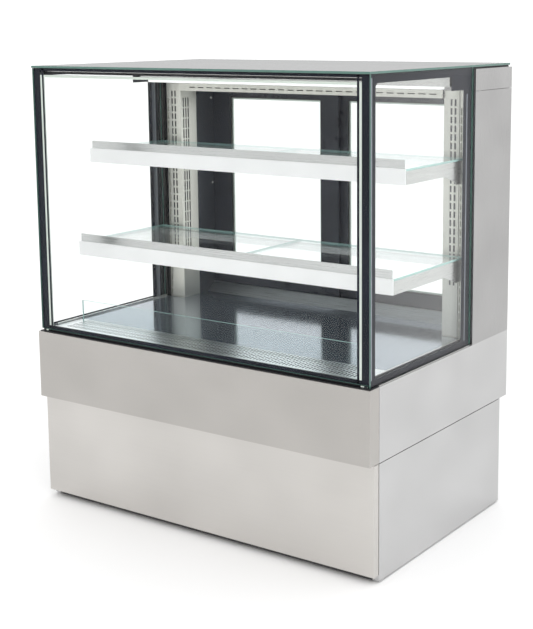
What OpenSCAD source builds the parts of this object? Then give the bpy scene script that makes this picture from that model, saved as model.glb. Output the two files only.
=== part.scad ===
/* Refrigerated bakery display case: a steel machine base, an insulated tank under a
   polished deck, a glazed chamber with two lit shelves, and two sliding rear doors.
   Millimetres. The origin is the middle of the footprint on the floor: +X is the
   customer's right, +Y is the serving side at the back, +Z is up.
   The modules measure from the front left corner of the footprint at the floor, and
   centred() moves each one to the origin. */

/* [Case] */
// Width of the whole case
case_w = 1200; // [1100:10:1500]
// Depth of the whole case
case_d = 800; // [800:10:860]
// Height to the top of the glass
case_h = 1350; // [1330:5:1400]
// Height of the seam between base and apron
base_top = 331; // [320:1:340]
// Height of the apron's top edge
apron_top = 538; // [530:1:545]

/* [Glazing] */
// Thickness of the outer panes
pane_t = 6; // [5:0.5:6]
// Thickness of the inner panes
inner_pane_t = 4; // [3:0.5:4]
// Width of the aluminium spacer bars
spacer_w = 7; // [6:0.5:8]

/* [Shelves] */
// Glass level of the upper shelf
upper_shelf_z = 1086; // [1060:5:1100]
// Front edge of the upper shelf, behind the case's front
upper_shelf_y = 227; // [200:1:260]
// Glass level of the lower shelf
lower_shelf_z = 799; // [780:1:820]
// Front edge of the lower shelf, behind the case's front
lower_shelf_y = 165; // [150:1:200]

/* [Doors] */
// Width of each sliding door
door_w = 513; // [500:1:530]
// Thickness of each sliding door
door_t = 13; // [12:0.5:13.5]

/* [Hidden] */
$fn = 32;
sheet = 2;                       // folded sheet metal
tray_t = 20;                     // depth of a folded side panel
seam = 1;                        // open line between neighbouring panels
nudge = 1;                       // how far a cut runs past the face it opens

body_y = 47;                     // front of the carcass behind the apron's face
base_panel_y = 23;               // face of the base's front panel
base_panel_z = 22;               // gap under the base's front panel
base_end_y = case_d - 45;        // back of the base's side panels
foot_h = 5;
foot_inset = 60;

deck_z = 552;                    // level of the deck and the air grille
deck_x = 35;
deck_front_y = 151;
deck_back_y = 699;
sill_z = 582;                    // top of the ledge in front of the doors
grille_front_y = 36;
tank_top = apron_top;

glass_x = 7;                     // outer face of the side glass
glass_y = 9;                     // outer face of the front glass
glass_gap = 10;                  // air gap of the double glazing
inner_x = glass_x + pane_t + glass_gap;
inner_y = glass_y + pane_t + glass_gap;
glass_top = case_h - pane_t - 1; // top edge of the upright panes
pivot_y = 12;                    // axis of the tilting front glass
pivot_z = 543;
knuckle_r = 2.8;
pin_r = 1.6;
run_fit = 0.05;                  // radial clearance of a running pin

column_y = 567;                  // front of the rear columns
post_face_y = 575;               // face of the slotted shelf standards
column_in_x = 105;               // inner wall of the rear columns
duct_back_y = 656;
header_z = case_h - 73;          // seam under the header
header_top = case_h - 11;
canopy_y = 464;
canopy_z = case_h - 58;
outlet_z = 1253;                 // underside of the air outlet

slot_pitch = 25;                 // shelf height steps
slot_h = 19;
slot_w = 6;
slot_first_z = 707;
slot_rows = 22;

track_y = 742;                   // front of the door tracks
groove_w = 14.5;
track_wall = 1.5;
door_z = 548.5;
door_top = 1275;
door_1_y = track_y + track_wall + (groove_w - door_t) / 2;
door_2_y = door_1_y + groove_w + track_wall;
door_x = column_in_x + 2;
stile_w = 75;
meeting_w = 65;
rail_low = 74;
rail_high = 48;

bracket_x = 28;                  // outer face of the shelf brackets
bracket_t = 3;
post_x = 43;
glass_t = 6;                     // shelf glass

fan_x = 300;
fan_y = 600;
fan_z = 180;
fan_r = 105;
evap_fan_z = 455;
evap_fan_y = 510;
evap_fan_r = 42;
control_x = 860;
control_z = 238;
control_face_y = 776;

// ---------------------------------------------------------------- shared shapes
module centred() { translate([-case_w / 2, -case_d / 2, 0]) children(); }

// A box between two corners
module span(x, y, z) {
    translate([x[0], y[0], z[0]]) cube([x[1] - x[0], y[1] - y[0], z[1] - z[0]]);
}

// The same thing on the left and, mirrored, on the right
module both_sides() {
    children();
    right_side() children();
}

module right_side() { translate([case_w, 0, 0]) mirror([1, 0, 0]) children(); }

// An outline in the Y-Z plane, drawn from x0 to x1
module along_x(x0, x1) {
    translate([x0, 0, 0]) rotate([90, 0, 90]) linear_extrude(x1 - x0) children();
}

// A round bar along Y, from y0 to y1
module bar_y(x, y0, y1, z, r) {
    translate([x, y0, z]) rotate([-90, 0, 0]) cylinder(r = r, h = y1 - y0);
}

// A round bar along X, from x0 to x1
module bar_x(x0, x1, y, z, r) {
    translate([x0, y, z]) rotate([0, 90, 0]) cylinder(r = r, h = x1 - x0);
}

// ---------------------------------------------------------------- machine base
module base_sides() {
    color("silver") both_sides() difference() {
        span([0, tray_t], [body_y, base_end_y], [foot_h, base_top - seam]);
        span([sheet, tray_t + nudge], [body_y + sheet, base_end_y - sheet],
            [foot_h + sheet, base_top - seam - sheet]);
    }
}

module base_front_panel() {
    color("silver") difference() {
        span([1, case_w - 1], [base_panel_y, body_y - seam], [base_panel_z, base_top - seam]);
        span([1 + sheet, case_w - 1 - sheet], [base_panel_y + sheet, body_y],
            [base_panel_z + sheet, base_top - seam - sheet]);
    }
}

// Rear cover with two louvred fields and a window for the controls
module base_rear_panel() {
    louvre_pitch = 15;
    color("silver") difference() {
        span([15, case_w - 15], [base_end_y + seam, base_end_y + tray_t], [36, base_top - seam]);
        span([15 + sheet, case_w - 15 - sheet], [base_end_y, base_end_y + tray_t - sheet],
            [36 + sheet, base_top - seam - sheet]);
        for (field = [[130, 470], [540, 780]], row = [0 : 13]) {
            span(field, [base_end_y, case_d], [70 + row * louvre_pitch, 76 + row * louvre_pitch]);
        }
        span([control_x, control_x + 220], [base_end_y, case_d], [control_z, control_z + 74]);
        span([1040, 1070], [base_end_y, case_d], [90, 114]);
    }
}

// Floor pan folded up into corner angles and a top flange, with a kick strip in front
module base_frame() {
    low = 25;
    high = base_top - seam;
    wall = 3;
    angle = 30;
    x = [tray_t + seam, case_w - tray_t - seam];
    y = [body_y + sheet, base_end_y - 10];
    inner_wide = [x[0] + angle, x[1] - angle];
    inner_deep = [y[0] + angle, y[1] - angle];
    color("dimgray") {
        span(x, [body_y, body_y + sheet], [foot_h, 60]);
        difference() {
            span(x, y, [low, high]);
            span([x[0] + wall, x[1] - wall], [y[0] + wall, y[1] - wall], [low + wall, high - wall]);
            span(inner_wide, [0, case_d], [low + wall, high - angle]);
            span([0, case_w], inner_deep, [low + wall, high - angle]);
            span(inner_wide, inner_deep, [high - angle - nudge, high + nudge]);
        }
    }
}

// Four screw feet: a round pad, a threaded stem and its lock nut
module levelling_feet() {
    color("dimgray") both_sides() for (y = [body_y + foot_inset, base_end_y - foot_inset])
        translate([foot_inset + 20, y, 0]) {
            cylinder(r = 21, h = foot_h);
            translate([0, 0, foot_h]) cylinder(r = 6, h = 12);
            translate([0, 0, foot_h + 12]) cylinder(r = 11, h = 8, $fn = 6);
        }
}

// ---------------------------------------------------------------- tank and apron
module insulated_tank() {
    color("whitesmoke") difference() {
        span([22, case_w - 22], [50, case_d - 22], [base_top + seam, tank_top]);
        span([62, case_w - 62], [90, case_d - 62], [382, tank_top + nudge]);
    }
}

module apron_front() {
    color("silver") difference() {
        span([0, case_w], [0, body_y - seam], [base_top + seam, apron_top]);
        span([sheet, case_w - sheet], [sheet, body_y],
            [base_top + seam + sheet, apron_top - sheet]);
    }
}

module apron_sides() {
    color("silver") both_sides() difference() {
        span([0, tray_t], [body_y, case_d], [base_top + seam, apron_top]);
        span([sheet, tray_t + nudge], [body_y + sheet, case_d - sheet],
            [base_top + seam + sheet, apron_top - sheet]);
    }
}

module apron_rear() {
    color("silver") difference() {
        span([tray_t + seam, case_w - tray_t - seam], [case_d - 21, case_d],
            [base_top + seam, apron_top]);
        span([tray_t + seam + sheet, case_w - tray_t - seam - sheet], [case_d - 22, case_d - sheet],
            [base_top + seam + sheet, apron_top - sheet]);
    }
}

// ---------------------------------------------------------------- deck
// One lift-out deck tray, notched round the rear column
module deck_tray() {
    skirt = 14;
    difference() {
        span([deck_x, case_w / 2 - 0.5], [deck_front_y, deck_back_y], [deck_z - skirt, deck_z]);
        span([deck_x + sheet, case_w / 2 - 0.5 - sheet], [deck_front_y + sheet, deck_back_y - sheet],
            [deck_z - skirt - nudge, deck_z - sheet]);
        span([0, column_in_x + seam], [column_y, case_d], [0, case_h]);
    }
    span([column_in_x + seam, column_in_x + seam + sheet], [column_y, deck_back_y],
        [deck_z - skirt, deck_z - sheet]);
    span([deck_x, column_in_x + seam + sheet], [column_y - sheet, column_y],
        [deck_z - skirt, deck_z - sheet]);
}

module deck_left() { color("gainsboro") deck_tray(); }
module deck_right() { color("gainsboro") right_side() deck_tray(); }

// Front strip with three rows of air return slots before the riser and one behind it
module air_return_grille() {
    pitch = 11;
    color("gainsboro") difference() {
        span([deck_x, case_w - deck_x], [grille_front_y, deck_front_y - seam], [deck_z - sheet, deck_z]);
        for (x = [74 : pitch : case_w - 74], row = [[50, 70], [75, 95], [100, 116], [129, 147]])
            span([x - 2, x + 2], row, [0, case_h]);
    }
}

module glass_riser() {
    color("lightcyan") span([71, case_w - 71], [121, 126], [deck_z, deck_z + 69]);
}

module rear_sill() {
    color("gainsboro") along_x(column_in_x + seam, case_w - column_in_x - seam)
        polygon([[deck_back_y + seam, apron_top], [track_y - seam, apron_top],
            [track_y - seam, sill_z], [track_y - 9, sill_z], [deck_back_y + seam, deck_z]]);
}

// Stainless channel that each side glass stands in, with a rim along the deck
module glass_channels() {
    color("gainsboro") both_sides() {
        span([5, 33], [50.5, column_y - seam], [apron_top, apron_top + sheet]);
        span([28.5, 33], [50.5, column_y - seam], [apron_top + sheet, deck_z + 5]);
    }
}

module front_sill() {
    color("black") {
        span([2, case_w - 2], [6, 50], [apron_top, apron_top + sheet]);
        span([deck_x, case_w - deck_x], [grille_front_y, 50], [apron_top + sheet, deck_z - sheet]);
        span([36, case_w - 36], [18, 24], [apron_top + sheet, pivot_z + 2]);
        both_sides() difference() {
            union() {
                bar_x(14.5, 23, pivot_y, pivot_z, knuckle_r);
                span([14.5, 23], [pivot_y - knuckle_r, pivot_y + knuckle_r],
                    [apron_top + sheet, pivot_z]);
            }
            bar_x(14, 24, pivot_y, pivot_z, pin_r + run_fit);
        }
    }
}

// ---------------------------------------------------------------- fixed glazing
module side_panes() {
    low = apron_top + sheet;
    span([glass_x, glass_x + pane_t], [16, column_y - seam], [low, glass_top]);
    span([inner_x, inner_x + inner_pane_t], [24, column_y - seam], [low, glass_top]);
}

module side_glass_left() { color("lightcyan") side_panes(); }
module side_glass_right() { color("lightcyan") right_side() side_panes(); }

module side_spacers() {
    low = 545;
    high = glass_top - 8;
    color("silver") both_sides() difference() {
        span([glass_x + pane_t, inner_x], [24, 543], [low, high]);
        span([0, 50], [24 + spacer_w, 543 - spacer_w], [low + spacer_w, high - spacer_w]);
    }
}

module top_glass() {
    color("lightcyan") span([5, case_w - 5], [7, case_d - 2], [case_h - pane_t, case_h]);
}

module top_seal() {
    color("black") {
        both_sides() span([9, 29], [column_y, case_d - 5], [header_top, case_h - pane_t]);
        span([29, case_w - 29], [case_d - 25, case_d - 5], [header_top, case_h - pane_t]);
    }
}

module front_top_rail() {
    color("silver") span([28, case_w - 28], [31, 60], [case_h - 17, case_h - pane_t]);
}

module front_top_seal() {
    color("black") span([28, case_w - 28], [31, 56], [case_h - 24, case_h - 17]);
}

// ---------------------------------------------------------------- rear structure
// Stainless skin of a rear column, folded round its front, side and back
module rear_column() {
    translate([0, 0, apron_top]) linear_extrude(header_z - seam - apron_top) polygon([
        [0, column_y], [33, column_y], [33, column_y + sheet], [sheet, column_y + sheet],
        [sheet, case_d - sheet], [90, case_d - sheet], [90, 778], [92, 778], [92, case_d],
        [0, case_d]]);
}

module rear_column_left() { color("silver") rear_column(); }
module rear_column_right() { color("silver") right_side() rear_column(); }

// Cold air duct with shelf slots in its face and air slots in its inner wall
module air_column() {
    left = 55;
    air_pitch = 35;
    difference() {
        span([left, column_in_x], [post_face_y, duct_back_y], [apron_top, header_z - seam]);
        span([left + sheet, column_in_x - sheet], [post_face_y + sheet, duct_back_y - sheet],
            [apron_top - nudge, header_z]);
        for (row = [0 : slot_rows - 1], x = [68, 81])
            span([x - slot_w / 2, x + slot_w / 2], [post_face_y - nudge, post_face_y + sheet + nudge],
                [slot_first_z + row * slot_pitch, slot_first_z + row * slot_pitch + slot_h]);
        for (row = [0 : 14], y = [589, 601, 613])
            span([column_in_x - sheet - nudge, column_in_x + nudge], [y - 3, y + 3],
                [slot_first_z + row * air_pitch, slot_first_z + row * air_pitch + 31]);
    }
}

module air_column_left() { color("gainsboro") air_column(); }
module air_column_right() { color("gainsboro") right_side() air_column(); }

// Slotted uprights that the shelf brackets hook into
module shelf_posts() {
    color("gainsboro") both_sides() difference() {
        span([post_x, post_x + 11], [577, 589], [apron_top, header_z - seam]);
        for (row = [-6 : slot_rows - 2])
            span([46, 51], [576, 583],
                [slot_first_z + row * slot_pitch, slot_first_z + row * slot_pitch + slot_h]);
    }
}

module header_shell() {
    color("silver") along_x(sheet, case_w - sheet) polygon([
        [column_y, header_z], [column_y + sheet, header_z], [column_y + sheet, header_top - sheet],
        [case_d - sheet, header_top - sheet], [case_d - sheet, header_z], [case_d, header_z],
        [case_d, header_top], [column_y, header_top]]);
}

module header_end_caps() {
    color("silver") both_sides() span([0, sheet], [column_y, case_d], [header_z, header_top]);
}

module light_canopy() {
    color("silver") along_x(28, case_w - 28) difference() {
        translate([canopy_y, canopy_z]) square([column_y - canopy_y, case_h - pane_t - canopy_z]);
        translate([canopy_y + sheet, canopy_z + sheet])
            square([column_y - canopy_y - 2 * sheet, case_h - pane_t - canopy_z - 2 * sheet]);
    }
}

module canopy_led() {
    color("white") span([60, case_w - 60], [canopy_y + 4, canopy_y + 28], [canopy_z - 8, canopy_z]);
}

// Angle that closes the air duct over the doors, with one row of outlet slots
module air_outlet_panel() {
    color("gainsboro") difference() {
        along_x(column_in_x + seam, case_w - column_in_x - seam) polygon([
            [column_y, outlet_z], [track_y - seam, outlet_z], [track_y - seam, outlet_z + sheet],
            [column_y + sheet, outlet_z + sheet], [column_y + sheet, header_z], [column_y, header_z]]);
        for (x = [150 : 36 : case_w - 150])
            span([x, x + 24], [column_y - nudge, column_y + sheet + nudge], [1263, 1266]);
    }
}

module door_jambs() {
    color([0.15, 0.15, 0.17]) both_sides()
        span([93, column_in_x], [duct_back_y + seam, 777], [apron_top, header_z - seam]);
}

// Twin-groove track, as an outline with its grooves opening along +Y of the sketch
module track_outline(height, floor_t) {
    wide = 2 * groove_w + 3 * track_wall;
    difference() {
        square([wide, height]);
        for (n = [0, 1])
            translate([track_wall + n * (groove_w + track_wall), floor_t]) square([groove_w, height]);
    }
}

module door_bottom_track() {
    color([0.15, 0.15, 0.17]) along_x(column_in_x, case_w - column_in_x)
        translate([track_y, apron_top]) track_outline(30, 10);
}

module door_top_track() {
    color([0.15, 0.15, 0.17]) along_x(column_in_x, case_w - column_in_x)
        translate([track_y, 1285]) mirror([0, 1]) track_outline(28, 5);
}

// ---------------------------------------------------------------- shelves
module shelf_rail(y, z) {
    along_x(bracket_x + bracket_t + 2, case_w - bracket_x - bracket_t - 2) polygon([
        [y, z - 41], [y + 24, z - 41], [y + 24, z - 39], [y + 2, z - 39],
        [y + 2, z - glass_t - 2], [y + 35, z - glass_t - 2], [y + 35, z - glass_t],
        [y + 2, z - glass_t], [y + 2, z + 24], [y, z + 24]]);
    // rear cross tube
    difference() {
        span([46, case_w - 46], [520, 540], [z - 26, z - glass_t]);
        span([45, case_w - 45], [522, 538], [z - 24, z - glass_t - 2]);
    }
}

// Side plate that steps in near the back, where it hooks into its post
module shelf_bracket(y, z) {
    step_y = 504;
    post_y = 553;
    shift = 19;
    slot = floor((z - 30 - slot_first_z) / slot_pitch);
    hook_z = slot_first_z + slot * slot_pitch + 2.5;
    intersection() {
        along_x(0, 100) polygon([[y + 2, z - glass_t], [576.5, z - glass_t],
            [576.5, hook_z + 14], [582, hook_z + 14], [582, hook_z], [576.5, hook_z],
            [576.5, z - 78], [537, z - 76], [443, z - 43], [y + 2, z - 43]]);
        linear_extrude(case_h) polygon([
            [bracket_x, y], [bracket_x + bracket_t, y], [bracket_x + bracket_t, step_y],
            [bracket_x + bracket_t + shift, post_y], [bracket_x + bracket_t + shift, 600],
            [bracket_x + shift, 600], [bracket_x + shift, post_y], [bracket_x, step_y]]);
    }
}

module shelf_glass(y, z) {
    both_sides() span([bracket_x + nudge, case_w / 2 - 1], [y + 3, 560], [z - glass_t, z]);
}

// Lit front strip under the lip
module shelf_led(y, z) {
    span([bracket_x, case_w - bracket_x], [y - 6, y], [z - 43, z]);
}

module upper_shelf_rail() { color("gray") shelf_rail(upper_shelf_y, upper_shelf_z); }
module lower_shelf_rail() { color("gray") shelf_rail(lower_shelf_y, lower_shelf_z); }
module upper_shelf_brackets() {
    color("gainsboro") both_sides() shelf_bracket(upper_shelf_y, upper_shelf_z);
}
module lower_shelf_brackets() {
    color("gainsboro") both_sides() shelf_bracket(lower_shelf_y, lower_shelf_z);
}
module upper_shelf_glass() { color("lightcyan") shelf_glass(upper_shelf_y, upper_shelf_z); }
module lower_shelf_glass() { color("lightcyan") shelf_glass(lower_shelf_y, lower_shelf_z); }
module upper_shelf_led() { color("white") shelf_led(upper_shelf_y, upper_shelf_z); }
module lower_shelf_led() { color("white") shelf_led(lower_shelf_y, lower_shelf_z); }

// ---------------------------------------------------------------- machinery
module compressor() {
    dome = 40;
    color([0.12, 0.12, 0.13]) translate([860, 330, 28]) {
        rotate_extrude() polygon(concat([[0, 12], [85, 12], [85, 150]],
            [for (a = [15 : 15 : 75]) [45 + 40 * cos(a), 150 + dome * sin(a)]], [[0, 190]]));
        for (x = [-75, 75], y = [-60, 60]) translate([x, y, 0]) cylinder(r = 14, h = 12);
        span([-100, 100], [-85, 85], [12, 16]);
        span([84, 116], [-30, 30], [70, 130]);
    }
}

// Finned coil: a row of plates between two end plates, on four tubes
module coil(x, y, z, fins) {
    for (n = [0 : fins - 1]) {
        cx = x[0] + n * (x[1] - x[0] - 2) / (fins - 1);
        span([cx, cx + 2], y, z);
    }
    for (a = [0.3, 0.7], b = [0.25, 0.75])
        bar_x(x[0], x[1], y[0] + a * (y[1] - y[0]), z[0] + b * (z[1] - z[0]), 5);
}

// Condenser with its fan motor on a cross bar
module condenser() {
    color("darkgray") {
        coil([150, 450], [640, 700], [28, 296], 20);
        bar_y(fan_x, 520, 580, fan_z, 36);
        bar_y(fan_x, 580, 614, fan_z, 5);
        span([fan_x - 10, fan_x + 10], [530, 560], [28, fan_z - 30]);
    }
}

module evaporator() {
    color("darkgray") {
        coil([180, 1020], [560, 640], [382, 500], 24);
        for (x = [400, 800]) {
            bar_y(x, 540, 556, evap_fan_z, 16);
            bar_y(x, 500, 540, evap_fan_z, 4);
            span([x - 6, x + 6], [542, 554], [382, evap_fan_z - 14]);
        }
    }
}

// Axial fan on a shaft along Y: a bored hub and tilted blades
module fan(x, y, z, r, hub_r, shaft_r, blades, width) {
    translate([x, y, z]) difference() {
        union() {
            bar_y(0, -width / 2, width / 2, 0, hub_r);
            for (n = [0 : blades - 1]) rotate([0, n * 360 / blades, 0])
                translate([0, 0, hub_r - 2]) rotate([0, 0, 28])
                    translate([-hub_r * 0.9, -1, 0]) cube([hub_r * 1.8, 2, r - hub_r]);
        }
        bar_y(0, -width, width, 0, shaft_r + run_fit);
    }
}

module condenser_fan() { color([0.2, 0.2, 0.22]) fan(fan_x, fan_y, fan_z, fan_r, 24, 5, 5, 24); }
module evaporator_fan_left() { color("white") fan(400, evap_fan_y, evap_fan_z, evap_fan_r, 12, 4, 5, 14); }
module evaporator_fan_right() { color("white") fan(800, evap_fan_y, evap_fan_z, evap_fan_r, 12, 4, 5, 14); }

// ---------------------------------------------------------------- controls
module controller() {
    color([0.15, 0.15, 0.17]) {
        difference() {
            span([control_x + 1, control_x + 219], [746, control_face_y],
                [control_z + 1, control_z + 73]);
            span([control_x + 18, control_x + 98], [control_face_y - 2, case_d],
                [control_z + 24, control_z + 56]);
            bar_y(control_x + 118, control_face_y - 6, case_d, control_z + 40, 5 + run_fit);
            span([control_x + 150, control_x + 172], [control_face_y - 14, case_d],
                [control_z + 24, control_z + 56]);
        }
        bar_x(control_x + 150, control_x + 172, control_face_y - 6, control_z + 40, 1);
    }
}

module set_button() {
    color("white") bar_y(control_x + 118, control_face_y - 3.5, control_face_y + 1.5,
        control_z + 40, 5);
}

// Rocker with a crowned face, on an axis along X
module light_switch() {
    color("white") difference() {
        translate([control_x + 161, control_face_y - 6, control_z + 40]) intersection() {
            bar_x(-10, 10, 0, 0, 15);
            span([-10, 10], [-3, 12], [-14, 14]);
            translate([0, -16, 0]) bar_x(-10, 10, 0, 0, 24);
        }
        bar_x(control_x, control_x + 220, control_face_y - 6, control_z + 40, 1 + run_fit);
    }
}

// Three-pin appliance inlet
module power_inlet() {
    color([0.1, 0.1, 0.1]) {
        difference() {
            span([1040.5, 1069.5], [748, base_end_y + tray_t], [90.5, 113.5]);
            span([1044, 1066], [754, case_d], [94, 110]);
        }
        for (p = [[1049, 100], [1061, 100], [1055, 105]])
            span([p[0] - 1, p[0] + 1], [753, 770], [p[1] - 2, p[1] + 2]);
    }
}

// ---------------------------------------------------------------- front glass
module front_glass() {
    color("lightcyan") {
        span([glass_x, case_w - glass_x], [glass_y, glass_y + pane_t], [547, glass_top]);
        span([34, case_w - 34], [inner_y, inner_y + inner_pane_t], [550, glass_top - 18]);
    }
}

// Spacer of the double glazing, with a hinge knuckle and pin at each lower corner
module front_glass_frame() {
    low = 548;
    high = glass_top - 20;
    color("silver") {
        difference() {
            span([34, case_w - 34], [glass_y + pane_t, inner_y], [low, high]);
            span([34 + spacer_w, case_w - 34 - spacer_w], [0, 50], [low + spacer_w, high - spacer_w]);
        }
        both_sides() {
            span([24, 33.5], [glass_y + pane_t, glass_y + pane_t + 8.5], [541, 575]);
            span([24, 33.5], [pivot_y, glass_y + pane_t], [541, 546.5]);
            bar_x(24, 33.5, pivot_y, pivot_z, knuckle_r);
            bar_x(14.5, 24, pivot_y, pivot_z, pin_r);
        }
    }
}

// ---------------------------------------------------------------- rear doors
// Door frame with a recessed grip in its outer stile
module door(y) {
    color([0.15, 0.15, 0.17]) difference() {
        span([0, door_w], [y, y + door_t], [door_z, door_top]);
        span([stile_w, door_w - meeting_w], [y - nudge, y + door_t + nudge],
            [door_z + rail_low, door_top - rail_high]);
        span([22, 48], [y + 5, y + door_t + nudge], [840, 960]);
    }
}

module door_panes(y) {
    pane = 3;
    color("lightcyan") for (offset = [1, door_t - pane - 1])
        span([stile_w, door_w - meeting_w], [y + offset, y + offset + pane],
            [door_z + rail_low, door_top - rail_high]);
}

module at_left_door() { translate([door_x, 0, 0]) children(); }
module at_right_door() { right_side() at_left_door() children(); }

module door_left() { at_left_door() door(door_1_y); }
module door_left_glass() { at_left_door() door_panes(door_1_y); }
module door_right() { at_right_door() door(door_2_y); }
module door_right_glass() { at_right_door() door_panes(door_2_y); }

centred() base_frame();
centred() base_sides();
centred() base_front_panel();
centred() base_rear_panel();
centred() levelling_feet();
centred() insulated_tank();
centred() apron_front();
centred() apron_sides();
centred() apron_rear();
centred() deck_left();
centred() deck_right();
centred() air_return_grille();
centred() rear_sill();
centred() glass_channels();
centred() glass_riser();
centred() front_sill();
centred() side_glass_left();
centred() side_glass_right();
centred() side_spacers();
centred() top_glass();
centred() top_seal();
centred() front_top_rail();
centred() front_top_seal();
centred() rear_column_left();
centred() rear_column_right();
centred() air_column_left();
centred() air_column_right();
centred() shelf_posts();
centred() header_shell();
centred() header_end_caps();
centred() light_canopy();
centred() canopy_led();
centred() air_outlet_panel();
centred() door_jambs();
centred() door_top_track();
centred() door_bottom_track();
centred() upper_shelf_rail();
centred() upper_shelf_brackets();
centred() upper_shelf_glass();
centred() upper_shelf_led();
centred() lower_shelf_rail();
centred() lower_shelf_brackets();
centred() lower_shelf_glass();
centred() lower_shelf_led();
centred() compressor();
centred() condenser();
centred() evaporator();
centred() controller();
centred() power_inlet();
centred() front_glass();
centred() front_glass_frame();
centred() door_left();
centred() door_left_glass();
centred() door_right();
centred() door_right_glass();
centred() condenser_fan();
centred() evaporator_fan_left();
centred() evaporator_fan_right();
centred() light_switch();
centred() set_button();
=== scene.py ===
"""A refrigerated bakery display case: brushed stainless steel base and columns, double glazing with
printed black borders, lit glass shelves over a polished deck, dark framed sliding doors.
Metres. The origin is the middle of the footprint on the floor, the customer stands at -Y, +Z is up."""
import math

import bmesh
import bpy
from mathutils import Matrix, Vector


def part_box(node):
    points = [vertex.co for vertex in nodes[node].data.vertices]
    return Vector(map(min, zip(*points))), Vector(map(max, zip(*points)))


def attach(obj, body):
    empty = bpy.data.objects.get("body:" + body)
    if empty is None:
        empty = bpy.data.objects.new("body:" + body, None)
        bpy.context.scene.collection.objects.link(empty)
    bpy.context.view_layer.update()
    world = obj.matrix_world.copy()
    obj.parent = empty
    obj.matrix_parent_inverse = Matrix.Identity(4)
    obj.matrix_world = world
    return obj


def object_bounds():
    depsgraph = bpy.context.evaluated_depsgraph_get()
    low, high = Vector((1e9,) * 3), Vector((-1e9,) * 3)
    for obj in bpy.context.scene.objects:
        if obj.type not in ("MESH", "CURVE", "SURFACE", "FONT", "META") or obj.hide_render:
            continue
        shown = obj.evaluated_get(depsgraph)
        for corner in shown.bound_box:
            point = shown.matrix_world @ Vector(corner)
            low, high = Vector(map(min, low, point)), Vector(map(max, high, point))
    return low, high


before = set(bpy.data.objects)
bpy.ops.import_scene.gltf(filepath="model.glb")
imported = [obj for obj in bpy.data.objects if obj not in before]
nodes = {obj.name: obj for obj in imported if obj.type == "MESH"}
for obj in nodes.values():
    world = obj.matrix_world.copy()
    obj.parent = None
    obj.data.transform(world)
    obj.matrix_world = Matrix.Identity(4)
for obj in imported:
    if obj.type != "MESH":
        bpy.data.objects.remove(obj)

MM = 0.001
cad_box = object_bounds()
wide, deep, tall = (round((top - low) / MM) for low, top in zip(*cad_box))
scene = bpy.context.scene


# ---------------------------------------------------------------- materials
def tree_of(name):
    """A new material, its node tree and its output node."""
    mat = bpy.data.materials.new(name)
    mat.use_nodes = True
    tree = mat.node_tree
    tree.nodes.clear()
    return mat, tree, tree.nodes.new("ShaderNodeOutputMaterial")


def stretched_noise(tree, scale, detail=3.0, rough=0.6):
    """Noise over the object's own coordinates, with its own scale along each axis, per metre."""
    where = tree.nodes.new("ShaderNodeTexCoord")
    mapping = tree.nodes.new("ShaderNodeMapping")
    mapping.inputs["Scale"].default_value = scale
    noise = tree.nodes.new("ShaderNodeTexNoise")
    noise.inputs["Scale"].default_value = 1.0
    noise.inputs["Detail"].default_value = detail
    noise.inputs["Roughness"].default_value = rough
    tree.links.new(where.outputs["Object"], mapping.inputs["Vector"])
    tree.links.new(mapping.outputs["Vector"], noise.inputs["Vector"])
    return noise.outputs["Fac"]


def mapped(tree, value, low, high, start=0.3, end=0.7):
    """value taken from start..end to low..high."""
    node = tree.nodes.new("ShaderNodeMapRange")
    node.inputs["From Min"].default_value = start
    node.inputs["From Max"].default_value = end
    node.inputs["To Min"].default_value = low
    node.inputs["To Max"].default_value = high
    tree.links.new(value, node.inputs["Value"])
    return node.outputs["Result"]


def blended(tree, value, low, high):
    """A colour between low and high, as value goes from 0 to 1."""
    node = tree.nodes.new("ShaderNodeMix")
    node.data_type = "RGBA"
    tree.links.new(value, node.inputs["Factor"])
    node.inputs["A"].default_value = (*low, 1)
    node.inputs["B"].default_value = (*high, 1)
    return node.outputs["Result"]


def bumped(tree, value, depth):
    """A normal for relief that is depth metres high where value is 1."""
    node = tree.nodes.new("ShaderNodeBump")
    node.inputs["Strength"].default_value = 1.0
    node.inputs["Distance"].default_value = depth
    tree.links.new(value, node.inputs["Height"])
    return node.outputs["Normal"]


def looks_along(tree, axis):
    """1 where the surface faces along the axis, either way, and 0 where it faces across it."""
    facing = tree.nodes.new("ShaderNodeNewGeometry")
    dot = tree.nodes.new("ShaderNodeVectorMath")
    dot.operation = "DOT_PRODUCT"
    dot.inputs[1].default_value = axis
    tree.links.new(facing.outputs["True Normal"], dot.inputs[0])
    size = tree.nodes.new("ShaderNodeMath")
    size.operation = "ABSOLUTE"
    tree.links.new(dot.outputs["Value"], size.inputs[0])
    is_face = tree.nodes.new("ShaderNodeMath")
    is_face.operation = "GREATER_THAN"
    is_face.inputs[1].default_value = 0.7
    tree.links.new(size.outputs[0], is_face.inputs[0])
    return is_face.outputs[0]


def faced(tree, out, axis, flat, cut):
    """Shows flat where the surface faces along the axis, and cut on the edges across it."""
    mix = tree.nodes.new("ShaderNodeMixShader")
    tree.links.new(looks_along(tree, axis), mix.inputs["Fac"])
    tree.links.new(cut, mix.inputs[1])
    tree.links.new(flat, mix.inputs[2])
    tree.links.new(mix.outputs["Shader"], out.inputs["Surface"])


def along(axis, slow, fast=900):
    """Noise scales for lines along the axis: slow along it and fast across it."""
    return tuple(slow if name == axis else fast for name in "xyz")


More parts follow.
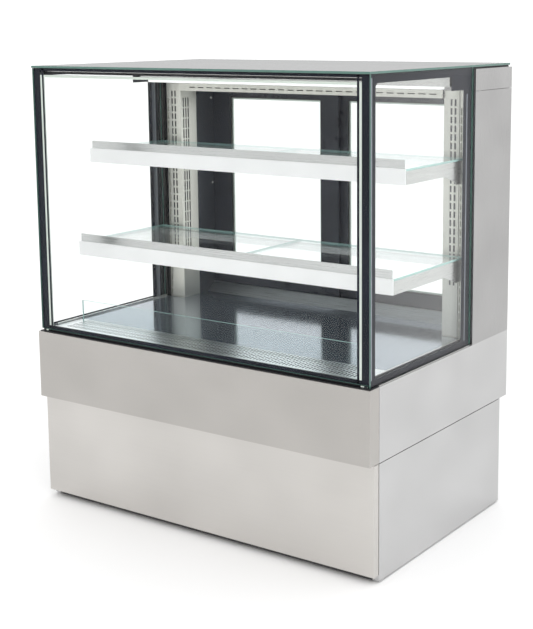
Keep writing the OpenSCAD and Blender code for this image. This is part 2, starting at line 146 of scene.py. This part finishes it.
def brushed(name, colour, rough, grain, cloud=0.06, depth=0.00004, metallic=1.0):
    """Brushed sheet: fine lines along one axis, and slow cloudy changes of tone and polish."""
    mat, tree, out = tree_of(name)
    shader = tree.nodes.new("ShaderNodeBsdfPrincipled")
    lines = stretched_noise(tree, grain, 4.0)
    clouds = stretched_noise(tree, (2.3, 2.3, 2.9), 2.0)
    dark = tuple(c * (1 - cloud) for c in colour)
    light = tuple(min(1.0, c * (1 + cloud)) for c in colour)
    tree.links.new(blended(tree, mapped(tree, clouds, 0, 1), dark, light), shader.inputs["Base Color"])
    tree.links.new(mapped(tree, lines, rough * 0.8, rough * 1.25), shader.inputs["Roughness"])
    tree.links.new(bumped(tree, lines, depth), shader.inputs["Normal"])
    shader.inputs["Metallic"].default_value = metallic
    tree.links.new(shader.outputs["BSDF"], out.inputs["Surface"])
    return mat


def perforated(name, colour, rough, grain):
    """Brushed level sheet whose slot walls are painted near black: painted shade for deep narrow slots.
    """
    mat = brushed(name, colour, rough, grain)
    tree = mat.node_tree
    out = next(node for node in tree.nodes if node.type == "OUTPUT_MATERIAL")
    steel = out.inputs["Surface"].links[0].from_socket
    # Painted shade: near black for the slot walls, which face across Z
    dark = tree.nodes.new("ShaderNodeBsdfPrincipled")
    dark.inputs["Roughness"].default_value = 0.6
    dark.inputs["Base Color"].default_value = (0.02, 0.022, 0.028, 1)
    faced(tree, out, (0, 0, 1), steel, dark.outputs["BSDF"])
    return mat


def solid(name, colour, rough, metallic=0.0, scale=400.0, depth=0.00003, vary=0.12, coat=0.0,
          shine=0.5):
    """Paint, plastic or rubber with a fine surface texture and a little change of tone."""
    mat, tree, out = tree_of(name)
    shader = tree.nodes.new("ShaderNodeBsdfPrincipled")
    fine = stretched_noise(tree, (scale, scale, scale), 2.0)
    slow = stretched_noise(tree, (7, 7, 7), 3.0)
    dark = tuple(c * (1 - vary) for c in colour)
    light = tuple(min(1.0, c * (1 + vary)) for c in colour)
    tree.links.new(blended(tree, mapped(tree, slow, 0, 1), dark, light), shader.inputs["Base Color"])
    tree.links.new(mapped(tree, slow, rough * 0.85, min(1.0, rough * 1.15)), shader.inputs["Roughness"])
    tree.links.new(bumped(tree, fine, depth), shader.inputs["Normal"])
    shader.inputs["Metallic"].default_value = metallic
    shader.inputs["Coat Weight"].default_value = coat
    shader.inputs["Specular IOR Level"].default_value = shine
    tree.links.new(shader.outputs["BSDF"], out.inputs["Surface"])
    return mat


def pane(name, across, tint, edge, film=0.0, mirror=1.0):
    """Flat glass whose faces look along across, with a coloured cut edge.

    The faces are clear and reflect more as they are seen more from the side. mirror is the
    strength of that reflection, and film is the share of a grey haze laid over it."""
    straight_on = 0.004
    steepness = 5.0
    mat, tree, out = tree_of(name)
    clear = tree.nodes.new("ShaderNodeBsdfTransparent")
    clear.inputs["Color"].default_value = (*tint, 1)
    gloss = tree.nodes.new("ShaderNodeBsdfGlossy")
    gloss.inputs["Roughness"].default_value = 0.01
    gloss.inputs["Color"].default_value = (mirror, mirror, mirror, 1)
    glance = tree.nodes.new("ShaderNodeLayerWeight")
    steep = tree.nodes.new("ShaderNodeMath")
    steep.operation = "POWER"
    steep.inputs[1].default_value = steepness
    tree.links.new(glance.outputs["Facing"], steep.inputs[0])
    faces = tree.nodes.new("ShaderNodeMixShader")
    tree.links.new(mapped(tree, steep.outputs[0], straight_on, 1, 0, 1), faces.inputs["Fac"])
    tree.links.new(clear.outputs["BSDF"], faces.inputs[1])
    tree.links.new(gloss.outputs["BSDF"], faces.inputs[2])
    surface = faces.outputs["Shader"]
    if film:
        haze = tree.nodes.new("ShaderNodeBsdfDiffuse")
        haze.inputs["Color"].default_value = (0.52, 0.54, 0.54, 1)
        with_film = tree.nodes.new("ShaderNodeMixShader")
        tree.links.new(mapped(tree, stretched_noise(tree, (3, 3, 3)), film * 0.9, film * 1.1),
                       with_film.inputs["Fac"])
        tree.links.new(surface, with_film.inputs[1])
        tree.links.new(haze.outputs["BSDF"], with_film.inputs[2])
        surface = with_film.outputs["Shader"]
    cut = tree.nodes.new("ShaderNodeBsdfPrincipled")
    cut.inputs["Roughness"].default_value = 0.18
    tone = mapped(tree, stretched_noise(tree, (30, 30, 30)), 0, 1)
    tree.links.new(blended(tree, tone, tuple(c * 0.8 for c in edge), edge), cut.inputs["Base Color"])
    faced(tree, out, across, surface, cut.outputs["BSDF"])
    return mat


def lit(name, colour, strength):
    """Opal diffuser over lamps, a little brighter in places."""
    mat, tree, out = tree_of(name)
    shader = tree.nodes.new("ShaderNodeBsdfPrincipled")
    shader.inputs["Base Color"].default_value = (0.48, 0.485, 0.49, 1)
    shader.inputs["Roughness"].default_value = 0.35
    wave = tree.nodes.new("ShaderNodeTexWave")
    wave.bands_direction = "X"
    wave.inputs["Scale"].default_value = 2.0
    where = tree.nodes.new("ShaderNodeTexCoord")
    tree.links.new(where.outputs["Object"], wave.inputs["Vector"])
    dim = tuple(c * 0.95 for c in colour)
    tree.links.new(blended(tree, wave.outputs["Fac"], dim, colour), shader.inputs["Emission Color"])
    shader.inputs["Emission Strength"].default_value = strength
    tree.links.new(shader.outputs["BSDF"], out.inputs["Surface"])
    return mat


ALONG_X = along("x", 6)
ALONG_Y = along("y", 6)
ALONG_Z = along("z", 6)
AQUA = (0.42, 0.66, 0.62)
DEEP_GREEN = (0.10, 0.20, 0.17)

front_steel = brushed("front_steel", (0.46, 0.444, 0.424), 0.34, along("x", 4))
base_front_steel = brushed("base_front_steel", (0.59, 0.573, 0.55), 0.36, along("x", 4))
side_steel = brushed("side_steel", (0.535, 0.535, 0.535), 0.2, along("y", 4), 0.1)
column_steel = brushed("column_steel", (0.395, 0.392, 0.39), 0.24, along("z", 4), 0.1)
deck_steel = brushed("deck_steel", (0.24, 0.28, 0.33), 0.12, along("y", 4, 60), 0.08, 0.000001, 0.78)
# The grille's slot walls carry painted shade
grille_steel = perforated("grille_steel", (0.78, 0.81, 0.83), 0.3, ALONG_X)
channel_steel = brushed("channel_steel", (0.58, 0.58, 0.57), 0.2, ALONG_Y)
liner_steel = brushed("liner_steel", (0.74, 0.735, 0.68), 0.45, ALONG_Z)
rail_steel = brushed("rail_steel", (0.55, 0.555, 0.555), 0.3, ALONG_X)
bracket_steel = brushed("bracket_steel", (0.62, 0.62, 0.61), 0.3, ALONG_Y)
screw_steel = brushed("screw_steel", (0.6, 0.6, 0.6), 0.25, (60, 60, 60))
spacer_metal = brushed("spacer_metal", (0.7, 0.76, 0.71), 0.5, ALONG_Z)
side_spacer_metal = brushed("side_spacer_metal", (0.3, 0.32, 0.36), 0.5, ALONG_Z)
ledge_steel = brushed("ledge_steel", (0.48, 0.5, 0.53), 0.3, ALONG_X)
copper = brushed("copper", (0.72, 0.36, 0.22), 0.3, (40, 40, 40))

frame_paint = solid("frame_paint", (0.05, 0.05, 0.055), 0.45, 0.3)
foot_black = solid("foot_black", (0.03, 0.03, 0.035), 0.5, 0.2)
# The tank is part metallic, and its mid-dark grey is painted shade for the tank in shadow under the
# deck
tank_steel_painted_shade = solid("tank_steel_painted_shade", (0.10, 0.105, 0.115), 0.45, 0.4, 60)
seal_black = solid("seal_black", (0.012, 0.012, 0.016), 0.55)
frit_black = solid("frit_black", (0.009, 0.011, 0.019), 0.4, vary=0.3, shine=0.15)
# Near black for the plates behind the slots: painted shade, not a colour of the case
painted_slot_shade = solid("painted_slot_shade", (0.03, 0.032, 0.04), 0.6, vary=0.3, shine=0.2)
door_paint = solid("door_paint", (0.022, 0.025, 0.036), 0.3, 0.0, 500, shine=0.35)
jamb_paint = solid("jamb_paint", (0.035, 0.04, 0.052), 0.35, 0.0, 500, shine=0.35)
shell_black = solid("shell_black", (0.012, 0.012, 0.014), 0.22, coat=0.4)
fin_metal = brushed("fin_metal", (0.62, 0.62, 0.62), 0.4, (80, 80, 80))
fan_black = solid("fan_black", (0.02, 0.02, 0.022), 0.4)
fan_white = solid("fan_white", (0.7, 0.7, 0.69), 0.4)
control_black = solid("control_black", (0.02, 0.02, 0.022), 0.5, 0.0, 700, 0.00006)
switch_grey = solid("switch_grey", (0.55, 0.56, 0.57), 0.35)
display_red = solid("display_red", (0.05, 0.004, 0.004), 0.1, coat=0.8)
lamp_white = lit("lamp_white", (1.0, 1.0, 1.0), 0.36)
canopy_white = lit("canopy_white", (1.0, 1.0, 0.99), 0.8)

front_glass = pane("front_glass", (0, 1, 0), (0.996, 0.999, 0.998), DEEP_GREEN)
side_glass = pane("side_glass", (1, 0, 0), (0.995, 0.999, 0.998), DEEP_GREEN)
top_glass = pane("top_glass", (0, 0, 1), (0.85, 0.87, 0.875), DEEP_GREEN, 0.08, 0.5)
shelf_glass = pane("shelf_glass", (0, 0, 1), (0.97, 0.99, 0.988), AQUA)
riser_glass = pane("riser_glass", (0, 1, 0), (0.96, 0.985, 0.985), AQUA)
door_glass = pane("door_glass", (0, 1, 0), (0.99, 0.995, 0.995), DEEP_GREEN)

DRESSED = {
    front_steel: ["apron_front"],
    base_front_steel: ["base_front_panel"],
    side_steel: ["base_sides", "apron_sides", "base_rear_panel", "apron_rear"],
    column_steel: ["rear_column_left", "rear_column_right", "header_shell", "header_end_caps"],
    deck_steel: ["deck_left", "deck_right"],
    grille_steel: ["air_return_grille"],
    channel_steel: ["glass_channels", "light_canopy", "front_top_rail"],
    ledge_steel: ["rear_sill"],
    liner_steel: ["air_column_left", "air_column_right", "shelf_posts", "air_outlet_panel"],
    rail_steel: ["upper_shelf_rail", "lower_shelf_rail"],
    bracket_steel: ["upper_shelf_brackets", "lower_shelf_brackets"],
    frame_paint: ["base_frame"],
    foot_black: ["levelling_feet"],
    tank_steel_painted_shade: ["insulated_tank"],
    seal_black: ["front_sill", "top_seal", "front_top_seal"],
    side_glass: ["side_glass_left", "side_glass_right"],
    front_glass: ["front_glass"],
    top_glass: ["top_glass"],
    shelf_glass: ["upper_shelf_glass", "lower_shelf_glass"],
    riser_glass: ["glass_riser"],
    door_glass: ["door_left_glass", "door_right_glass"],
    spacer_metal: ["front_glass_frame"],
    side_spacer_metal: ["side_spacers"],
    lamp_white: ["upper_shelf_led", "lower_shelf_led"],
    canopy_white: ["canopy_led"],
    door_paint: ["door_left", "door_right", "door_top_track", "door_bottom_track"],
    jamb_paint: ["door_jambs"],
    shell_black: ["compressor"],
    fin_metal: ["condenser", "evaporator"],
    fan_black: ["condenser_fan"],
    fan_white: ["evaporator_fan_left", "evaporator_fan_right"],
    control_black: ["controller", "power_inlet"],
    switch_grey: ["light_switch", "set_button"],
}
for mat, names in DRESSED.items():
    for name in names:
        nodes[name].data.materials.clear()
        nodes[name].data.materials.append(mat)


# ---------------------------------------------------------------- making pieces
# How a flat outline and its thickness are turned to lie across each axis
PLANES = {
    "x": Matrix(((0, 0, 1, 0), (1, 0, 0, 0), (0, 1, 0, 0), (0, 0, 0, 1))),
    "y": Matrix(((1, 0, 0, 0), (0, 0, -1, 0), (0, 1, 0, 0), (0, 0, 0, 1))),
    "z": Matrix.Identity(4),
}


def piece(name, mesh, mat, body):
    """The mesh as a piece of the object, moving with body."""
    obj = bpy.data.objects.new(name, mesh)
    scene.collection.objects.link(obj)
    mesh.materials.clear()
    mesh.materials.append(mat)
    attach(obj, body)
    return obj


def sheet_shape(name, loops, plane, near, far, mat, body):
    """A flat shape with holes, given as closed loops, filling near to far along the plane's axis."""
    same_point = 1e-7
    curve = bpy.data.curves.new(name, "CURVE")
    curve.dimensions = "2D"
    curve.fill_mode = "BOTH"
    curve.extrude = abs(far - near) / 2
    for loop in loops:
        spline = curve.splines.new("POLY")
        spline.points.add(len(loop) - 1)
        for point, (u, v) in zip(spline.points, loop):
            point.co = (u, v, 0, 1)
        spline.use_cyclic_u = True
    holder = bpy.data.objects.new(name, curve)
    mesh = bpy.data.meshes.new_from_object(holder)
    bpy.data.objects.remove(holder)
    middle = (near + far) / 2
    shift = {"x": (middle, 0, 0), "y": (0, middle, 0), "z": (0, 0, middle)}[plane]
    mesh.transform(Matrix.Translation(shift) @ PLANES[plane])
    work = bmesh.new()
    work.from_mesh(mesh)
    bmesh.ops.remove_doubles(work, verts=work.verts, dist=same_point)
    bmesh.ops.recalc_face_normals(work, faces=work.faces)
    work.to_mesh(mesh)
    work.free()
    return piece(name, mesh, mat, body)


def rounded(u0, v0, u1, v1, radius=0.0, steps=6):
    """A rectangle's outline with round corners."""
    if radius == 0:
        return [(u0, v0), (u1, v0), (u1, v1), (u0, v1)]
    points = []
    corners = [(u1 - radius, v0 + radius, -90), (u1 - radius, v1 - radius, 0),
               (u0 + radius, v1 - radius, 90), (u0 + radius, v0 + radius, 180)]
    for cu, cv, start in corners:
        for k in range(steps + 1):
            angle = math.radians(start + 90 * k / steps)
            points.append((cu + radius * math.cos(angle), cv + radius * math.sin(angle)))
    return points


def turned(work, profile, seat, steps=20):
    """Adds a shape turned about its own Z to work: profile is (radius, height) from bottom to top."""
    rings = []
    for radius, height in profile:
        ring = []
        for k in range(steps):
            angle = 2 * math.pi * k / steps
            spot = Vector((radius * math.cos(angle), radius * math.sin(angle), height))
            ring.append(work.verts.new(seat @ spot))
        rings.append(ring)
    for low, high in zip(rings, rings[1:]):
        for k in range(steps):
            n = (k + 1) % steps
            work.faces.new((low[k], low[n], high[n], high[k]))
    work.faces.new(list(reversed(rings[0])))
    work.faces.new(rings[-1])


# A pan head with a round recess, from its rim to the recess's floor, for a radius of 1
SCREW_HEAD = [(1, 0), (0.97, 0.18), (0.8, 0.36), (0.5, 0.46), (0.36, 0.47), (0.3, 0.2)]


def screws(name, spots, towards, radius, body):
    """Screws at the spots, their heads on a face that looks towards."""
    work = bmesh.new()
    turn = Vector(towards).to_track_quat("Z", "Y").to_matrix().to_4x4()
    profile = [(radius * out, radius * up) for out, up in SCREW_HEAD]
    for spot in spots:
        turned(work, profile, Matrix.Translation(spot) @ turn)
    mesh = bpy.data.meshes.new(name)
    work.to_mesh(mesh)
    work.free()
    mesh.shade_smooth()
    return piece(name, mesh, screw_steel, body)


def tube(name, points, radius, mat, body):
    """A bent pipe through the points."""
    curve = bpy.data.curves.new(name, "CURVE")
    curve.dimensions = "3D"
    curve.bevel_depth = radius
    curve.bevel_resolution = 4
    curve.use_fill_caps = True
    curve.resolution_u = 8
    spline = curve.splines.new("BEZIER")
    spline.bezier_points.add(len(points) - 1)
    for knot, spot in zip(spline.bezier_points, points):
        knot.co = spot
        knot.handle_left_type = knot.handle_right_type = "AUTO"
    holder = bpy.data.objects.new(name, curve)
    mesh = bpy.data.meshes.new_from_object(holder)
    bpy.data.objects.remove(holder)
    mesh.shade_smooth()
    return piece(name, mesh, mat, body)


def place(x, y, z):
    """A point measured in millimetres from the front left corner of the footprint."""
    return Vector(((x - wide / 2) * MM, (y - deep / 2) * MM, z * MM))


def mm_loop(points, plane):
    """Outline points in millimetres from the front left corner, moved to the row frame."""
    du = {"x": deep / 2, "y": wide / 2, "z": wide / 2}[plane]
    dv = {"x": 0, "y": 0, "z": deep / 2}[plane]
    return [((u - du) * MM, (v - dv) * MM) for u, v in points]


def band(name, loops, plane, near, far, mat, body, slot):
    """sheet_shape in millimetres from the front left corner."""
    shift = {"x": wide / 2, "y": deep / 2, "z": 0}[plane]
    made = [mm_loop(loop, plane) for loop in loops]
    return sheet_shape(name, made, plane, (near - shift) * MM, (far - shift) * MM, mat, body)


def on_side(side, near, far):
    """A stretch across the case, measured from the left face or, mirrored, from the right one."""
    return (near, far) if side == "left" else (wide - far, wide - near)


SIDES = ("left", "right")

# ---------------------------------------------------------------- printed borders
# All in millimetres. The print lies just inside the inner face of each outer pane.
PRINT_T = 0.4
PRINT_GAP = 0.02
front_face, side_face, top_face = 15, 13, tall - 6
front_print = (front_face - PRINT_T, front_face - PRINT_GAP)
glass_low, glass_high = 547.2, tall - 7.2
strip_x = (33.6, 41.2)                # clear line that shows the bright spacer


def front_print_band(name, x0, z0, x1, z1):
    band(name, [rounded(x0, z0, x1, z1)], "y", *front_print, frit_black, "front_glass_panel",
         "black_seal")


for side in SIDES:
    for part, near, far in (("outer", 7.2, strip_x[0]), ("inner", strip_x[1], 48)):
        x0, x1 = on_side(side, near, far)
        front_print_band(f"front_border_{side}_{part}", x0, glass_low, x1, glass_high)
front_print_band("front_border_low", strip_x[0], glass_low, wide - strip_x[0], 558)
front_print_band("front_border_high", strip_x[0], 1335, wide - strip_x[0], glass_high)

side_outline = rounded(16.2, 540.2, 565.8, glass_high)
step_window = [(46, 557), (518, 557), (518, 1282), (446, 1282), (446, 1314), (440, 1320), (54, 1320),
               (46, 1312)]
strip_front = rounded(24, 556, 31, 1334)
strip_rear = rounded(536, 556, 543, 1270)
for side in SIDES:
    near, far = on_side(side, side_face - PRINT_T, side_face - PRINT_GAP)
    band(f"side_border_{side}", [side_outline, step_window, strip_front, strip_rear], "x", near, far,
         frit_black, "cabinet", "black_seal")

top_outline = rounded(5.2, 7.2, 1194.8, 797.8)
top_window = rounded(28, 40, 1172, 566, 8)
band("top_border", [top_outline, top_window], "z", top_face - PRINT_T, top_face - 0.1, frit_black,
     "cabinet", "black_seal")

# ---------------------------------------------------------------- door details
SPACER_W = 9
BEAD_W = 4
for side, y_face in (("left", 744.25), ("right", 760.25)):
    low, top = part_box(f"door_{side}_glass")
    x0, x1 = low.x / MM + wide / 2, top.x / MM + wide / 2
    z0, z1 = low.z / MM, top.z / MM
    outer = rounded(x0, z0, x1, z1)
    inner = rounded(x0 + SPACER_W, z0 + SPACER_W, x1 - SPACER_W, z1 - SPACER_W, 2)
    band(f"door_spacer_{side}", [outer, inner], "y", y_face + 4.3, y_face + 8.7, spacer_metal,
         f"{side}_door", "spacer")
    bead = rounded(x0 + BEAD_W, z0 + BEAD_W, x1 - BEAD_W, z1 - BEAD_W, 3)
    band(f"door_bead_{side}", [outer, bead], "y", y_face + 0.05, y_face + 0.95, seal_black,
         f"{side}_door", "black_seal")

# Dark plates close behind the slots: painted shade in place of the unlit ducts and the dark space under
# the grille
for side, wall in (("left", 102.4), ("right", 1097.4)):
    near, far = on_side(side, 57.5, 102.5)
    band(f"duct_shade_front_{side}", [rounded(near, 545, far, 1270)], "y", 577.3, 578, painted_slot_shade,
         "cabinet", "black_seal")
    band(f"duct_shade_inner_{side}", [rounded(578.5, 545, 653, 1270)], "x", wall, wall + 0.3,
         painted_slot_shade, "cabinet", "black_seal")
band("return_air_shade", [rounded(60, 51, 1140, 149)], "z", 538.5, 539, painted_slot_shade, "cabinet",
     "black_seal")

for side, x, towards in (("left", 105, 1), ("right", 1095, -1)):
    spots = [place(x, 735, z) for z in (640, 930, 1220)]
    screws(f"jamb_screws_{side}", spots, (towards, 0, 0), 4.5 * MM, "cabinet")

# ---------------------------------------------------------------- rear and base details
rear_spots = [place(x, 775, z) for x in (40, 320, 600, 1000, 1160) for z in (56, 314)]
screws("rear_panel_screws", rear_spots, (0, 1, 0), 4 * MM, "cabinet")
band("controller_display", [rounded(880, 264, 956, 292, 3)], "y", 774.1, 774.9, display_red,
     "cabinet", "control_black")

liquid = [place(450, 660, 120), place(540, 650, 110), place(640, 560, 100), place(720, 430, 110),
          place(780, 360, 120)]
tube("liquid_pipe", liquid, 4.8 * MM, copper, "cabinet")
suction = [place(900, 330, 214), place(900, 340, 250), place(890, 420, 270), place(880, 520, 275),
           place(880, 600, 320)]
tube("suction_pipe", suction, 6 * MM, copper, "cabinet")

# ---------------------------------------------------------------- studio
world = bpy.data.worlds.new("studio")
scene.world = world
world.use_nodes = True
sky = world.node_tree
sky.nodes.clear()
out = sky.nodes.new("ShaderNodeOutputWorld")
light = sky.nodes.new("ShaderNodeBackground")
where = sky.nodes.new("ShaderNodeTexCoord")
dot = sky.nodes.new("ShaderNodeVectorMath")
dot.operation = "DOT_PRODUCT"
towards_customer = (-0.57, -0.81, -0.1)
dot.inputs[1].default_value = towards_customer
sky.links.new(where.outputs["Generated"], dot.inputs[0])
shade = mapped(sky, dot.outputs["Value"], 0, 1, 0.1, 0.95)
sky.links.new(blended(sky, shade, (1.0, 1.0, 1.0), (0.70, 0.69, 0.68)), light.inputs["Color"])
light.inputs["Strength"].default_value = 1.3
sky.links.new(light.outputs["Background"], out.inputs["Surface"])

reach = 30
floor_mesh = bpy.data.meshes.new("floor")
floor_mesh.from_pydata([(-reach, -reach, 0), (reach, -reach, 0), (reach, reach, 0),
                        (-reach, reach, 0)], [], [(0, 1, 2, 3)])
floor = bpy.data.objects.new("floor", floor_mesh)
scene.collection.objects.link(floor)
white, floor_tree, floor_out = tree_of("floor_white")
paper = floor_tree.nodes.new("ShaderNodeBsdfPrincipled")
paper.inputs["Base Color"].default_value = (0.93, 0.93, 0.93, 1)
paper.inputs["Roughness"].default_value = 0.8
floor_tree.links.new(paper.outputs["BSDF"], floor_out.inputs["Surface"])
floor_mesh.materials.append(white)


def area_light(name, spot, target, size, power):
    """A soft rectangular light at spot that shines at target and isn't seen itself."""
    data = bpy.data.lights.new(name, "AREA")
    data.shape = "RECTANGLE"
    data.size, data.size_y = size
    data.energy = power
    obj = bpy.data.objects.new(name, data)
    scene.collection.objects.link(obj)
    obj.location = spot
    obj.rotation_mode = "QUATERNION"
    obj.rotation_quaternion = (Vector(target) - Vector(spot)).to_track_quat("-Z", "Y")
    obj.visible_camera = False


area_light("key", (2.5, -3.5, 4.2), (0, 0, 0.7), (2.5, 2.5), 40)

camera_data = bpy.data.cameras.new("camera")
camera = bpy.data.objects.new("camera", camera_data)
scene.collection.objects.link(camera)
scene.camera = camera
azimuth, elevation, roll = (math.radians(angle) for angle in (34.707, 9.0, -0.4))
level = Vector((math.cos(azimuth), math.sin(azimuth), 0))
ahead = Vector((-math.sin(azimuth) * math.cos(elevation), math.cos(azimuth) * math.cos(elevation),
                -math.sin(elevation)))
right = level * math.cos(roll) + level.cross(ahead) * math.sin(roll)
turn = Matrix((right, right.cross(ahead), -ahead)).transposed()
camera.location = (2.2616, -3.0886, 1.4664)
camera.rotation_mode = "QUATERNION"
camera.rotation_quaternion = turn.to_quaternion()
camera_data.lens = 73.02
camera_data.sensor_width = 36
camera_data.shift_x = -0.06
camera_data.shift_y = -0.14
camera_data.clip_start = 0.05

scene.view_settings.view_transform = "Standard"
scene.cycles.transparent_max_bounces = 32
